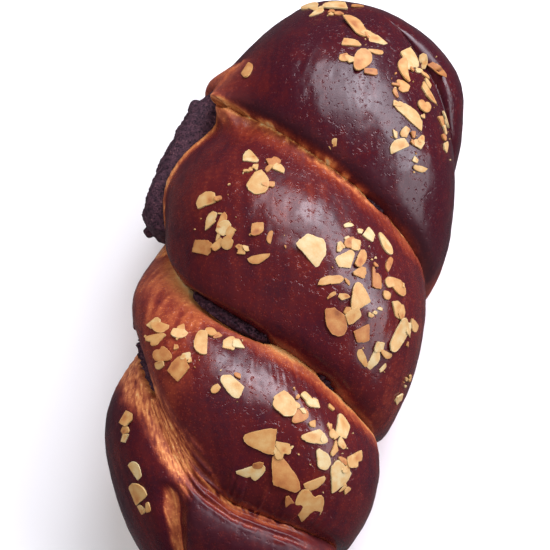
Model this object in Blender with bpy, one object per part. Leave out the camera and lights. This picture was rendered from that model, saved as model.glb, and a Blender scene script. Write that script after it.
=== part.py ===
"""A babka: a loaf of two dough strands twisted round each other and baked until dark and glossy.

The long axis is Y and the loaf rests on its flat underside. Strand lobes cross the top from upper
left to lower right, chocolate filling runs through the loaf between the strands and shows at one
flank and in the grooves, and flaked almonds are baked on to the crust.
"""
import math
import random

import bmesh
import bpy
from mathutils import Vector, noise

# Loaf, in metres
FAR_END = 0.157
NEAR_END = -0.148
WIDTH = 0.139
HEIGHT = 0.103
WAIST = 0.042            # height of the widest part of the section
TAPER = 0.05             # how much wider the far end is than the near end
BOW = 0.003              # sideways bend of the centre line
NEAR_BEND = 0.008        # further bend of the near end to the right
AXIS_SHIFT = (0.0014, -0.0045)  # moves the loaf so that its box is centred on the origin
FAR_POWERS = (2.3, 2.95) # roundness of the far end's left and right shoulder, seen from above
NEAR_POWERS = (2.6, 3.4)  # the same for the near end
CROWN_POWER = 2.5        # roundness of the ends, seen from the side
TOP_POWER = 2.2          # roundness of the section above the waist
BASE_POWER = 3.6         # the section below the waist is squarer
BASE_PRESS = 1.05        # how far the base is pressed flat by its own weight

# Strand lobes, from the far end to the near end: tail, first, second, third and end lobe
LOBE_ROWS = (5, 12, 13, 12, 10)
COLUMNS = 48
SEAM_DEPTHS = (0.0, 0.007, 0.0145, 0.0165, 0.012, 0.0)
LOBE_LEAN = 0.82         # under 1 puts a lobe's crest nearer to the near end
NEAR_ROUND = 0.55        # a lobe's near side is steep where it rolls over the next one
FAR_ROUND = 1.05         # its far side rises gently from under its neighbour
FLANK_ROUND = 0.45       # but is steep again down the right flank
TAIL_BULGE = 0.004       # the tucked end of the strand, at the far right
END_BULGE = 0.005        # the end lobe's left flank
UNEVENNESS = 0.0016

# Filling
GAP = 0.0003
CUT_PAST = 0.004         # how far a cutter reaches past the crust
SLAB_RIM = 0.001
CORE_RADIUS = 0.010
CORE_REACH = (-0.095, 0.080)
FIN_THICKNESS = 0.0064
FIN_ROOT = 0.006
FIN_COVER = 0.006        # depth of dough over a fin where it doesn't show
FLANK_Y = (0.011, 0.087)
FLANK_TOP = (math.radians(-82.0), math.radians(-63.0))
FLANK_SPAN = math.radians(31.0)
FLANK_ROOT = 0.024
FLANK_BULGE = 0.0085

# Flaked almonds
FLAKE_THICKNESS = 0.0015
FLAKE_SINK = 0.0006
FLAKE_POINTS = 7
FLAKE_CLEARANCE = 0.0030
FLAKE_SEED = 21

# Where the almonds fell: place along the loaf, angle from the crown in degrees, the patch's
# half-length and half-width in metres, how many flakes, and the length of the largest in metres
FLAKE_PATCHES = (
    (0.139, -24.0, 0.006, 0.012, 5, 0.017),
    (0.112, 8.0, 0.014, 0.008, 7, 0.016),
    (0.110, 41.0, 0.013, 0.011, 9, 0.017),
    (0.087, 37.0, 0.010, 0.009, 6, 0.021),
    (0.088, 61.0, 0.009, 0.004, 3, 0.013),
    (0.069, 38.0, 0.007, 0.007, 4, 0.013),
    (0.060, 46.0, 0.002, 0.002, 1, 0.012),
    (0.056, 9.0, 0.002, 0.002, 1, 0.010),
    (0.089, -47.0, 0.002, 0.002, 1, 0.012),
    (0.034, -22.0, 0.008, 0.008, 4, 0.016),
    (0.004, -35.0, 0.012, 0.005, 4, 0.016),
    (0.000, -17.0, 0.007, 0.014, 6, 0.011),
    (0.005, 12.0, 0.004, 0.004, 2, 0.022),
    (0.017, 33.0, 0.006, 0.013, 4, 0.012),
    (-0.004, 31.0, 0.012, 0.012, 8, 0.016),
    (0.001, 50.0, 0.010, 0.005, 4, 0.014),
    (-0.020, 33.0, 0.006, 0.010, 5, 0.018),
    (-0.015, 60.0, 0.007, 0.005, 3, 0.018),
    (-0.031, 51.0, 0.004, 0.006, 3, 0.011),
    (-0.036, 74.0, 0.006, 0.002, 2, 0.010),
    (-0.047, -21.0, 0.003, 0.010, 4, 0.013),
    (-0.049, -43.0, 0.004, 0.008, 3, 0.012),
    (-0.060, -32.0, 0.005, 0.008, 4, 0.016),
    (-0.066, -8.0, 0.006, 0.005, 3, 0.014),
    (-0.065, 20.0, 0.006, 0.006, 3, 0.020),
    (-0.068, 41.0, 0.008, 0.012, 6, 0.017),
    (-0.092, 18.0, 0.008, 0.008, 5, 0.022),
    (-0.086, 46.0, 0.009, 0.010, 6, 0.017),
    (-0.103, 40.0, 0.003, 0.009, 3, 0.020),
    (-0.092, -57.0, 0.009, 0.003, 3, 0.013),
    (-0.117, -49.0, 0.008, 0.004, 3, 0.015),
)


def clear_scene():
    for obj in list(bpy.data.objects):
        bpy.data.objects.remove(obj, do_unlink=True)


def ramp(low, high, value):
    """0 below low, 1 above high and smooth between them."""
    t = min(max((value - low) / (high - low), 0.0), 1.0)
    return t * t * (3.0 - 2.0 * t)


def blend(a, b, t):
    return a + (b - a) * t


def underside(theta):
    """0 over the top and the flanks, 1 at the middle of the underside."""
    return ramp(math.radians(105.0), math.radians(175.0), abs(theta))


def seam(index, theta):
    """Place along the loaf of a seam between two lobes; 0 and 5 are the loaf's two ends."""
    turn = min(max(theta, math.radians(-105.0)), math.radians(105.0))
    if index == 0:
        return FAR_END
    if index == 1:
        rest, shift = 0.130, 0.018 - 0.077 / (1.0 + math.exp((1.05 - turn) / 0.30))
    elif index == 2:
        rest, shift = 0.053, -0.0195 * turn
    elif index == 3:
        bend = math.sin(turn) if turn > 0.0 else turn
        rest, shift = -0.038, -0.0098 * bend - 0.0110 * bend ** 3
    elif index == 4:
        rest, shift = -0.090, -0.022 + 0.072 / (1.0 + math.exp((turn + 0.80) / 0.24))
    else:
        return NEAR_END
    return rest + shift * (1.0 - underside(theta))


def seam_depth(index, theta):
    depth = SEAM_DEPTHS[index]
    if index == 1:
        depth *= ramp(math.radians(20.0), math.radians(55.0), theta)
    return depth * (1.0 - 0.25 * ramp(math.radians(50.0), math.radians(85.0), theta))


def envelope_radius(y, theta):
    """Distance from the centre line to the plain loaf, before its lobes are shaped."""
    end, powers = (FAR_END, FAR_POWERS) if y > 0.0 else (NEAR_END, NEAR_POWERS)
    along = min(y / end, 1.0)
    power = powers[0] if theta < 0.0 else powers[1]
    half_width = WIDTH / 2.0 * (1.0 + TAPER * y / FAR_END) * (1.0 - along ** power) ** (1.0 / power)
    if math.cos(theta) > 0.0:
        reach = (HEIGHT - WAIST) * (1.0 - along ** CROWN_POWER) ** (1.0 / CROWN_POWER)
        power = TOP_POWER
    else:
        reach = BASE_PRESS * WAIST * (1.0 - along ** 6) ** (1.0 / 6.0)
        power = BASE_POWER
    if min(half_width, reach) < 1e-6:
        return 0.0
    across = abs(math.sin(theta)) / half_width
    upward = abs(math.cos(theta)) / reach
    return (across ** power + upward ** power) ** (-1.0 / power)


def relief(y, theta):
    """How far the surface lies under the plain loaf: grooves at the seams, and a few folds."""
    index = 0
    while index < 4 and y < seam(index + 1, theta):
        index += 1
    far, near = seam(index, theta), seam(index + 1, theta)
    t = min(max((y - near) / max(far - near, 1e-6), 0.0), 1.0)
    swell = math.sin(math.pi * t ** LOBE_LEAN) if t > 0.0 else 0.0
    far_round = blend(FAR_ROUND, FLANK_ROUND, ramp(math.radians(40.0), math.radians(80.0), theta))
    swell = max(swell, 0.0) ** blend(NEAR_ROUND, far_round, t)
    depth = blend(seam_depth(index + 1, theta), seam_depth(index, theta), t)
    groove = depth * (1.0 - swell)
    crease = 0.006 * math.exp(-((theta + 0.50) / 0.13) ** 2) * ramp(-0.108, -0.120, y)
    flap = 0.005 * math.exp(-((theta + 0.93) / 0.18) ** 2 - ((y - 0.080) / 0.010) ** 2)
    tail = TAIL_BULGE * math.exp(-((theta - 1.15) / 0.40) ** 2 - ((y - 0.124) / 0.018) ** 2)
    hip = END_BULGE * math.exp(-((theta + 1.45) / 0.60) ** 2 - ((y + 0.088) / 0.027) ** 2)
    return (groove + crease - flap - tail - hip) * (1.0 - underside(theta))


def surface_radius(y, theta):
    radius = envelope_radius(y, theta)
    wave = noise.noise(Vector((math.sin(theta) * 1.6, y * 28.0, math.cos(theta) * 1.6)))
    shrink = min(radius / 0.030, 1.0)
    return radius - (relief(y, theta) + UNEVENNESS * wave) * shrink


def place(y, theta, radius):
    """A point at a distance from the centre line; nothing goes below the table."""
    bend = BOW * (1.0 - (y / FAR_END) ** 2) + NEAR_BEND * ramp(-0.03, NEAR_END, y)
    x = bend + radius * math.sin(theta) + AXIS_SHIFT[0]
    z = WAIST + radius * math.cos(theta)
    return Vector((x, y + AXIS_SHIFT[1], max(z, 0.0)))


def surface_frame(y, theta):
    """Point on the crust, the directions along and across it, and its normal."""
    step = 0.002
    radius = max(surface_radius(y, theta), 0.01)
    point = place(y, theta, radius)
    along = place(y + step, theta, surface_radius(y + step, theta)) - point
    turn = step / radius
    across = place(y, theta + turn, surface_radius(y, theta + turn)) - point
    normal = along.cross(across).normalized() * -1.0
    along.normalize()
    return point, along, normal.cross(along).normalized(), normal


def make_material(name, colour, roughness):
    material = bpy.data.materials.new(name)
    material.use_nodes = True
    shader = material.node_tree.nodes["Principled BSDF"]
    shader.inputs["Base Color"].default_value = (*colour, 1.0)
    shader.inputs["Roughness"].default_value = roughness
    shader.inputs["Metallic"].default_value = 0.0
    material.diffuse_color = (*colour, 1.0)
    return material


def make_object(name, bm, collection):
    if bm.calc_volume(signed=True) < 0.0:
        bmesh.ops.reverse_faces(bm, faces=bm.faces[:])
    mesh = bpy.data.meshes.new(name)
    bm.to_mesh(mesh)
    bm.free()
    obj = bpy.data.objects.new(name, mesh)
    collection.objects.link(obj)
    return obj


def make_loaf(collection):
    """A sphere with its poles at the loaf's ends, and its rings laid between the seams."""
    rows = sum(LOBE_ROWS)
    bm = bmesh.new()
    bmesh.ops.create_uvsphere(bm, u_segments=COLUMNS, v_segments=rows, radius=1.0)
    for vert in bm.verts:
        ring = round(math.acos(max(-1.0, min(1.0, vert.co.z))) / math.pi * rows)
        theta = math.atan2(vert.co.y, vert.co.x)
        lobe = 0
        while lobe < 4 and ring > LOBE_ROWS[lobe]:
            ring -= LOBE_ROWS[lobe]
            lobe += 1
        t = (1.0 - math.cos(math.pi * ring / LOBE_ROWS[lobe])) / 2.0
        y = blend(seam(lobe, theta), seam(lobe + 1, theta), t)
        vert.co = place(y, theta, surface_radius(y, theta))
    return make_object("loaf", bm, collection)


def make_slab(name, cuts, shape, collection):
    """A cube cut into a few slices each way, whose corners are then moved to their places."""
    bm = bmesh.new()
    bmesh.ops.create_cube(bm, size=2.0)
    for axis, count in enumerate(cuts):
        normal = Vector((0.0, 0.0, 0.0))
        normal[axis] = 1.0
        for cut in range(1, count):
            geometry = bm.verts[:] + bm.edges[:] + bm.faces[:]
            centre = normal * (2.0 * cut / count - 1.0)
            bmesh.ops.bisect_plane(bm, geom=geometry, dist=1e-6, plane_co=centre, plane_no=normal)
    bmesh.ops.triangulate(bm, faces=bm.faces[:], quad_method="FIXED")
    for vert in bm.verts:
        vert.co = shape(*vert.co)
    return make_object(name, bm, collection)


def slab_level(b, root, top, cut_to, grow):
    """Radius of one of a slab's four levels; the lower three lie alike in a slab and its cutter."""
    level = round((b + 1.0) * 1.5)
    outermost = cut_to if grow else top
    return (root - grow, (root + top) / 2.0, top - SLAB_RIM, outermost)[level]


def make_fin(name, index, slices, reach, shows, grow, collection):
    """A layer of filling that follows a seam, and comes to the surface where shows says."""

    def shape(a, b, c):
        theta = blend(reach[0], reach[1], (a + 1.0) / 2.0)
        y = seam(index, theta)
        valley = surface_radius(y, theta)
        shown = [rise for middle, half_angle, rise in shows if abs(theta - middle) < half_angle]
        gape = max(1.0 - 0.6 * ((theta - middle) / half_angle) ** 2 for middle, half_angle, _ in shows)
        top = valley + shown[0] if shown else valley - FIN_COVER
        cut_to = envelope_radius(y, theta) + CUT_PAST if shown else top + grow
        radius = slab_level(b, FIN_ROOT, top, cut_to, grow)
        step = 0.01
        slope = (seam(index, theta + step) - seam(index, theta - step)) / (2.0 * step)
        run = math.hypot(slope, valley)
        half = FIN_THICKNESS / 2.0 * max(gape, 0.35) + grow
        y += c * half * valley / run
        theta += (a * grow - c * half * slope / run) / valley
        return place(y, theta, radius)

    return make_slab(name, (slices, 3, 1), shape, collection)


def make_core(grow, collection):
    """The roll of filling along the middle of the loaf."""
    bm = bmesh.new()
    bmesh.ops.create_cone(bm, segments=12, cap_ends=True, radius1=CORE_RADIUS + grow,
                          radius2=CORE_RADIUS + grow, depth=2.0)
    middle = sum(CORE_REACH) / 2.0
    half = (CORE_REACH[1] - CORE_REACH[0]) / 2.0 + grow
    for vert in bm.verts:
        y = middle + vert.co.z * half
        vert.co = place(y, 0.0, 0.0) + Vector((vert.co.x, 0.0, vert.co.y))
    return make_object("filling_core", bm, collection)


def make_flank(grow, collection):
    """The band of filling that has burst out along the second lobe's flank."""

    def shape(a, b, c):
        y = blend(FLANK_Y[0], FLANK_Y[1], (a + 1.0) / 2.0)
        top = blend(FLANK_TOP[0], FLANK_TOP[1], (a + 1.0) / 2.0)
        narrow = FLANK_SPAN * (1.0 - 0.45 * abs(a) ** 3)
        theta = top - narrow * (1.0 - c) / 2.0
        plain = envelope_radius(y, theta)
        bulge = FLANK_BULGE * (1.0 - a ** 6) * (1.0 - 0.35 * a) * (1.0 - 0.5 * c * c)
        crumb = 0.0022 * noise.noise(Vector((y, theta * 0.06, 0.3)) * 190.0)
        outer = plain + bulge + crumb
        radius = slab_level(b, plain - FLANK_ROOT, outer, plain + FLANK_BULGE + CUT_PAST, grow)
        y += a * grow
        theta += c * grow / 0.05
        return place(y, theta, radius)

    return make_slab("filling_flank", (12, 3, 5), shape, collection)


def make_filling(grow, collection):
    """Every layer of the filling; grow swells it all round, to cut its place in the dough."""
    degrees = math.radians
    make_core(grow, collection)
    make_flank(grow, collection)
    make_fin("filling_far", 2, 16, (degrees(-60.0), degrees(60.0)),
             ((degrees(39.0), degrees(6.0), 0.0005),), grow, collection)
    make_fin("filling_middle", 3, 26, (degrees(-92.0), degrees(56.0)),
             ((degrees(-22.0), degrees(27.0), 0.0020), (degrees(42.0), degrees(7.0), 0.0010)),
             grow, collection)
    make_fin("filling_near", 4, 18, (degrees(-96.0), degrees(-30.0)),
             ((degrees(-72.0), degrees(17.0), 0.0015),), grow, collection)


def flake_outline(draw, length):
    """A sliver, a whole slice or a broken piece of one, as points in its own plane."""
    width = length * draw.uniform(0.45, 0.72)
    cut = draw.choice((1.0, 1.0, draw.uniform(0.1, 0.6)))
    start = draw.uniform(0.0, math.tau)
    points = []
    for k in range(FLAKE_POINTS):
        angle = math.tau * k / FLAKE_POINTS + draw.uniform(-0.12, 0.12)
        u = min(math.cos(angle), cut) * length / 2.0
        v = math.sin(angle) * width / 2.0 * (1.0 - 0.25 * math.cos(angle))
        points.append((u * math.cos(start) - v * math.sin(start), u * math.sin(start) + v * math.cos(start)))
    return points


def filling_shows_near(y, theta, margin):
    """Whether a place on the crust is too close to where the filling comes out."""
    rim = math.radians(-60.0) + margin / 0.06
    if FLANK_Y[0] - margin < y < FLANK_Y[1] + margin and theta < rim:
        return theta > math.radians(-125.0)
    angles = {2: ((32.0, 46.0),), 3: ((-51.0, 7.0), (33.0, 51.0)), 4: ((-92.0, -53.0),)}
    for index, ranges in angles.items():
        for low, high in ranges:
            inside = math.radians(low) - margin / 0.05 < theta < math.radians(high) + margin / 0.05
            if inside and abs(y - seam(index, theta)) < FIN_THICKNESS / 2.0 + margin:
                return True
    return False


def flake_places(draw):
    """Each flake's place, angle and length, the largest of a patch first and none overlapping."""
    placed = []
    for middle, degrees, half_length, half_width, count, largest in FLAKE_PATCHES:
        for k in range(count):
            length = largest * blend(1.0, 0.45, k / max(count - 1, 1)) * draw.uniform(0.9, 1.1)
            for attempt in range(60):
                y = middle + half_length * draw.uniform(-1.0, 1.0)
                radius = surface_radius(y, math.radians(degrees))
                theta = math.radians(degrees) + half_width * draw.uniform(-1.0, 1.0) / radius
                if filling_shows_near(y, theta, length / 2.0 + FLAKE_CLEARANCE):
                    continue
                here = place(y, theta, surface_radius(y, theta))
                if all((here - other).length > 0.40 * (length + size) for other, size in placed):
                    placed.append((here, length))
                    yield y, theta, length
                    break


def make_flakes(collection):
    draw = random.Random(FLAKE_SEED)
    for y, theta, length in flake_places(draw):
        point, along, across, normal = surface_frame(y, theta)
        radius = surface_radius(y, theta)
        bm = bmesh.new()
        bmesh.ops.create_circle(bm, cap_ends=True, segments=FLAKE_POINTS, radius=1.0)
        bm.verts.ensure_lookup_table()
        for vert, (u, v) in zip(bm.verts[:], flake_outline(draw, length)):
            there = y + u * along.y + v * across.y
            turn = theta + v / radius
            on_crust = place(there, turn, surface_radius(there, turn))
            flat = point + along * u + across * v
            lift = (on_crust - flat).dot(normal)
            vert.co = flat + normal * (lift - FLAKE_SINK)
        top = bmesh.ops.extrude_face_region(bm, geom=bm.faces[:])
        raised = [item for item in top["geom"] if isinstance(item, bmesh.types.BMVert)]
        bmesh.ops.translate(bm, verts=raised, vec=normal * FLAKE_THICKNESS)
        make_object("flake", bm, collection)


def apply_boolean(obj, operation, collection, solver):
    """Join or cut with a whole collection, keep the result, and remove the collection's objects."""
    modifier = obj.modifiers.new(operation.lower(), "BOOLEAN")
    modifier.operation = operation
    modifier.operand_type = "COLLECTION"
    modifier.collection = collection
    modifier.solver = solver
    graph = bpy.context.evaluated_depsgraph_get()
    mesh = bpy.data.meshes.new_from_object(obj.evaluated_get(graph))
    obj.modifiers.clear()
    obj.data = mesh
    for tool in list(collection.objects):
        bpy.data.objects.remove(tool, do_unlink=True)


def new_collection(name):
    collection = bpy.data.collections.new(name)
    bpy.context.scene.collection.children.link(collection)
    return collection


def main():
    clear_scene()
    babka = new_collection("babka")
    tools = new_collection("tools")

    make_filling(0.0, tools)
    filling = tools.objects["filling_flank"]
    tools.objects.unlink(filling)
    babka.objects.link(filling)
    filling.name = "chocolate_filling"
    apply_boolean(filling, "UNION", tools, "EXACT")

    loaf = make_loaf(babka)
    make_filling(GAP, tools)
    apply_boolean(loaf, "DIFFERENCE", tools, "EXACT")
    make_flakes(tools)
    apply_boolean(loaf, "UNION", tools, "MANIFOLD")
    bpy.data.collections.remove(tools)

    loaf.data.materials.clear()
    loaf.data.materials.append(make_material("baked_crust", (0.16, 0.035, 0.022), 0.35))
    filling.data.materials.clear()
    filling.data.materials.append(make_material("chocolate", (0.030, 0.012, 0.016), 0.85))
    for obj in (loaf, filling):
        obj.data.shade_smooth()
        obj.data.set_sharp_from_angle(angle=math.radians(40.0))


main()
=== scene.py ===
import math
import random

import bmesh
import bpy
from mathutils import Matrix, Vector, noise


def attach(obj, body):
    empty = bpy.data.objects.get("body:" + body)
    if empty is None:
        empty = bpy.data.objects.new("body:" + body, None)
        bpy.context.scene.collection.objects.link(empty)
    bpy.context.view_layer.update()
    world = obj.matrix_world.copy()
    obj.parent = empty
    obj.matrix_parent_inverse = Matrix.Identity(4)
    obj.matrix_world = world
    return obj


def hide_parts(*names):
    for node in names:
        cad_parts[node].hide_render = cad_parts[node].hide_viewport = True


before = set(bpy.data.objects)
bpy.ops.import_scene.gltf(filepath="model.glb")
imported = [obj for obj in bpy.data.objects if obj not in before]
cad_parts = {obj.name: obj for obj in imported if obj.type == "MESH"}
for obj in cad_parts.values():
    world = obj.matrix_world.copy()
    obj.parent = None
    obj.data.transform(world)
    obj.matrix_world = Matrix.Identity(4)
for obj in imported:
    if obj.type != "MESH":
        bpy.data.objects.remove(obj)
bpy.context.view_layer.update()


# The dough twist: two strands of enriched dough rolled round each other, proved until they have
# grown together, brushed with egg and baked until mahogany brown. It is shaped from a ball whose
# poles are the loaf's ends and whose rings lie between the seams.
FAR_END = 0.157
NEAR_END = -0.148
WIDTH = 0.139
HEIGHT = 0.103
WAIST = 0.042               # height of the centre line above the table
MEAN_RADIUS = 0.06          # turns an angle round the loaf into a length along its surface
TIP_RADIUS = 0.045          # the loaf is narrower than this near its two ends
TIP_REACH = (0.004, 0.030)
TAPER = 0.05
BOW = 0.003
NEAR_BEND = 0.008
AXIS_SHIFT = (0.0014, -0.0045)
FAR_POWERS = (2.3, 2.95)
NEAR_POWERS = (2.6, 3.4)
CROWN_POWER = 2.5
TOP_POWER = 2.2
BASE_POWER = 3.6
BASE_PRESS = 1.05
SEAM_DEPTHS = (0.0, 0.007, 0.0145, 0.0165, 0.012, 0.0)
LOBE_LEAN = 0.82
NEAR_ROUND = 0.55
FAR_ROUND = 1.05
FLANK_ROUND = 0.45
TAIL_BULGE = 0.004
END_BULGE = 0.005
UNEVENNESS = 0.0016
FIN_THICKNESS = 0.0064
FLANK_Y = (0.011, 0.087)
FLANK_TOP = (math.radians(-82.0), math.radians(-63.0))
FLANK_SPAN = math.radians(31.0)
CRUST_ROWS = (22, 62, 72, 68, 70)     # rings of faces from one seam to the next, from the far end
CRUST_COLUMNS = 320
LOBE_BROWN = (1.0, 1.0, 0.87, 0.86, 0.96)
CRUST_CROWDING = 0.34       # how far the columns crowd towards the crown
POCKET_DEPTH = 0.009        # the filling lies in a pocket this deep along the flank
LIP_HEIGHT = 0.0012
ROLL_OVER = 0.0022          # how far a lobe's near side rolls over the seam under it
SLOT_DEPTH = 0.004
SLOT_SIDE = (0.0006, 0.0008)
SLOPE_STEP = 0.01
# Where each seam has burst open: its middle and half its length in degrees, how far the filling rises
# there in metres, and how wide the seam gapes, as a share of the filling's thickness.
SHOWS = {
    2: ((39.0, 6.0, 0.0, 0.26), (-57.0, 3.0, -0.0022, 0.42), (-49.5, 2.0, -0.0026, 0.30)),
    3: ((-22.0, 27.0, 0.0024, 1.0), (42.0, 6.0, 0.0006, 0.30)),
    4: ((-66.0, 18.0, 0.0042, 1.6),),
}


def ramp(low, high, value):
    """0 below low, 1 above high and smooth between them."""
    t = min(max((value - low) / (high - low), 0.0), 1.0)
    return t * t * (3.0 - 2.0 * t)


def blend(a, b, t):
    return a + (b - a) * t


def bump(x, width):
    return math.exp(-(x / width) ** 2)


def sweep(low, high, theta):
    """0 before one angle round the loaf and 1 past another, both in degrees."""
    return ramp(math.radians(low), math.radians(high), theta)


def underside(theta):
    """0 over the top and the flanks, 1 at the middle of the underside."""
    return sweep(105.0, 175.0, abs(theta))


def seam(index, theta):
    """Place along the loaf of a seam between two lobes; 0 and 5 are the loaf's two ends."""
    turn = min(max(theta, math.radians(-105.0)), math.radians(105.0))
    if index == 0:
        return FAR_END
    if index == 1:
        rest, shift = 0.130, 0.018 - 0.077 / (1.0 + math.exp((1.05 - turn) / 0.30))
    elif index == 2:
        rest, shift = 0.053, -0.0195 * turn
    elif index == 3:
        bend = math.sin(turn) if turn > 0.0 else turn
        rest, shift = -0.038, -0.0098 * bend - 0.0110 * bend ** 3
    elif index == 4:
        rest, shift = -0.090, -0.022 + 0.072 / (1.0 + math.exp((turn + 0.80) / 0.24))
    else:
        return NEAR_END
    return rest + shift * (1.0 - underside(theta))


def seam_slope(index, theta):
    """How far a seam runs along the loaf for each radian round it."""
    return (seam(index, theta + SLOPE_STEP) - seam(index, theta - SLOPE_STEP)) / (2.0 * SLOPE_STEP)


def seam_depth(index, theta):
    depth = SEAM_DEPTHS[index]
    if index == 1:
        depth *= sweep(20.0, 55.0, theta)
    return depth * (1.0 - 0.25 * sweep(50.0, 85.0, theta))


def envelope_radius(y, theta):
    """Distance from the centre line to the plain loaf, before its lobes are shaped."""
    end, powers = (FAR_END, FAR_POWERS) if y > 0.0 else (NEAR_END, NEAR_POWERS)
    along = min(y / end, 1.0)
    power = powers[0] if theta < 0.0 else powers[1]
    half_width = WIDTH / 2.0 * (1.0 + TAPER * y / FAR_END) * (1.0 - along ** power) ** (1.0 / power)
    if math.cos(theta) > 0.0:
        reach = (HEIGHT - WAIST) * (1.0 - along ** CROWN_POWER) ** (1.0 / CROWN_POWER)
        power = TOP_POWER
    else:
        reach = BASE_PRESS * WAIST * (1.0 - along ** 6) ** (1.0 / 6.0)
        power = BASE_POWER
    if min(half_width, reach) < 1e-6:
        return 0.0
    across = abs(math.sin(theta)) / half_width
    upward = abs(math.cos(theta)) / reach
    return (across ** power + upward ** power) ** (-1.0 / power)


def lobe_place(y, theta):
    """Which lobe a place is on, and how far from its near seam (0) to its far seam (1)."""
    index = 0
    while index < 4 and y < seam(index + 1, theta):
        index += 1
    far, near = seam(index, theta), seam(index + 1, theta)
    return index, min(max((y - near) / max(far - near, 1e-6), 0.0), 1.0), far, near


def relief(y, theta):
    """How far the surface lies under the plain loaf: grooves at the seams, and a few folds."""
    index, t, _, _ = lobe_place(y, theta)
    swell = math.sin(math.pi * t ** LOBE_LEAN) if t > 0.0 else 0.0
    far_round = blend(FAR_ROUND, FLANK_ROUND, sweep(40.0, 80.0, theta))
    swell = max(swell, 0.0) ** blend(NEAR_ROUND, far_round, t)
    depth = blend(seam_depth(index + 1, theta), seam_depth(index, theta), t)
    groove = depth * (1.0 - swell)
    crease = 0.006 * bump(theta + 0.50, 0.13) * ramp(-0.108, -0.120, y)
    flap = 0.005 * bump(theta + 0.93, 0.18) * bump(y - 0.080, 0.010)
    tail = TAIL_BULGE * bump(theta - 1.15, 0.40) * bump(y - 0.124, 0.018)
    hip = END_BULGE * bump(theta + 1.45, 0.60) * bump(y + 0.088, 0.027)
    return (groove + crease - flap - tail - hip) * (1.0 - underside(theta))


def surface_radius(y, theta):
    radius = envelope_radius(y, theta)
    wave = noise.noise(Vector((math.sin(theta) * 1.6, y * 28.0, math.cos(theta) * 1.6)))
    shrink = min(radius / 0.030, 1.0)
    return radius - (relief(y, theta) + UNEVENNESS * wave) * shrink


def place(y, theta, radius):
    """A point at a distance from the centre line; nothing goes below the table."""
    bend = BOW * (1.0 - (y / FAR_END) ** 2) + NEAR_BEND * ramp(-0.03, NEAR_END, y)
    x = bend + radius * math.sin(theta) + AXIS_SHIFT[0]
    z = WAIST + radius * math.cos(theta)
    return Vector((x, y + AXIS_SHIFT[1], max(z, 0.0)))


def flank_inset(y, theta):
    """Distance from a place to the edge of the filling along the flank, positive inside it."""
    a = (y - FLANK_Y[0]) / (FLANK_Y[1] - FLANK_Y[0]) * 2.0 - 1.0
    top = blend(FLANK_TOP[0], FLANK_TOP[1], (a + 1.0) / 2.0)
    narrow = FLANK_SPAN * (1.0 - 0.45 * min(abs(a), 1.0) ** 3)
    from_ends = (1.0 - abs(a)) * (FLANK_Y[1] - FLANK_Y[0]) / 2.0
    from_top = (top - theta) * 0.066
    from_bottom = (theta - (top - narrow)) * 0.066
    return min(from_ends, from_top, from_bottom), from_top


def gape(index, theta):
    """How wide a seam has burst open at an angle round the loaf, from 0 to 1."""
    opening = 0.0
    for middle, half_length, rise, widest in SHOWS.get(index, ()):
        across = abs(math.degrees(theta) - middle) / half_length
        closing = 1.0 - ramp(0.85, 1.12, across)
        opening = max(opening, widest * (1.0 - 0.6 * min(across, 1.0) ** 2) * closing)
    return opening


def slot(y, theta, radius):
    """Lowers the crust where a seam has burst open, down to a floor under the filling."""
    for index in SHOWS:
        opening = gape(index, theta)
        if opening > 0.0:
            here = seam(index, theta)
            slope = seam_slope(index, theta) / MEAN_RADIUS
            apart = abs(y - here) / math.hypot(1.0, slope)
            half = FIN_THICKNESS / 2.0 * opening
            floor = surface_radius(here, theta) - SLOT_DEPTH
            side = SLOT_SIDE[0] + SLOT_SIDE[1] * min(opening, 1.0)
            radius = min(radius, blend(floor, radius, ramp(half, half + side, apart)))
    return radius


def web(y, theta):
    """1 on the dough that has stretched between the first two lobes where they meet the flank."""
    return bump(theta + 1.02, 0.16) * bump(y - seam(2, theta) + 0.001, 0.0080)


def fan_width(theta):
    """How far the stretched dough reaches below the third lobe, at an angle round the loaf."""
    narrow = sweep(-26.0, -14.0, theta)
    width = blend(0.0165, 0.0095, narrow)
    return width + 0.0105 * (1.0 - sweep(-70.0, -34.0, theta))


def strands(theta):
    """1 on the narrow part of the fan, where the dough was drawn out into parallel strands."""
    return sweep(-30.0, -16.0, theta)


def noise_spot(y, theta):
    """Where a place on the crust reads its noise: on a drum that closes towards the loaf's two ends."""
    reach = MEAN_RADIUS * min(envelope_radius(y, theta) / TIP_RADIUS, 1.0)
    return Vector((math.sin(theta) * reach, y, math.cos(theta) * reach))


def fan(y, theta):
    """1 on the stretched, fibrous dough below the third lobe, and 0 away from it."""
    below = seam(4, theta) - y
    spot = noise_spot(y, theta)
    ragged = 0.0030 * noise.noise(spot * 120.0) + 0.0016 * noise.noise(spot * 420.0)
    width = fan_width(theta)
    sides = sweep(-98.0, -82.0, theta)
    sides *= 1.0 - sweep(38.0, 66.0, theta)
    start = blend(-0.0010, -0.0150, beside_fan(theta))
    inner = ramp(start, start + blend(0.0015, 0.0110, beside_fan(theta)), below + 1.3 * ragged)
    return sides * inner * (1.0 - ramp(0.62 * width, 1.10 * width, below + ragged))


def wool(y, theta):
    """The short crinkled fibres of the stretched dough, as coarse and fine noise."""
    along = theta * MEAN_RADIUS + 0.5 * y
    below = seam(4, theta) - y
    warp = 1.5 * noise.noise(Vector((along * 90.0, below * 90.0, 1.0)))
    coarse = noise.noise(Vector((along * 270.0 + warp, below * 380.0 - warp, 4.0)))
    fine = noise.noise(Vector((along * 620.0 - 2.0 * warp, below * 900.0 + warp, 9.0)))
    return coarse, fine


def beside_fan(theta):
    """1 at the angles where the third lobe runs smoothly down into the stretched dough."""
    far_side = sweep(-66.0, -54.0, theta)
    return far_side * (1.0 - sweep(-24.0, 4.0, theta))


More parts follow.
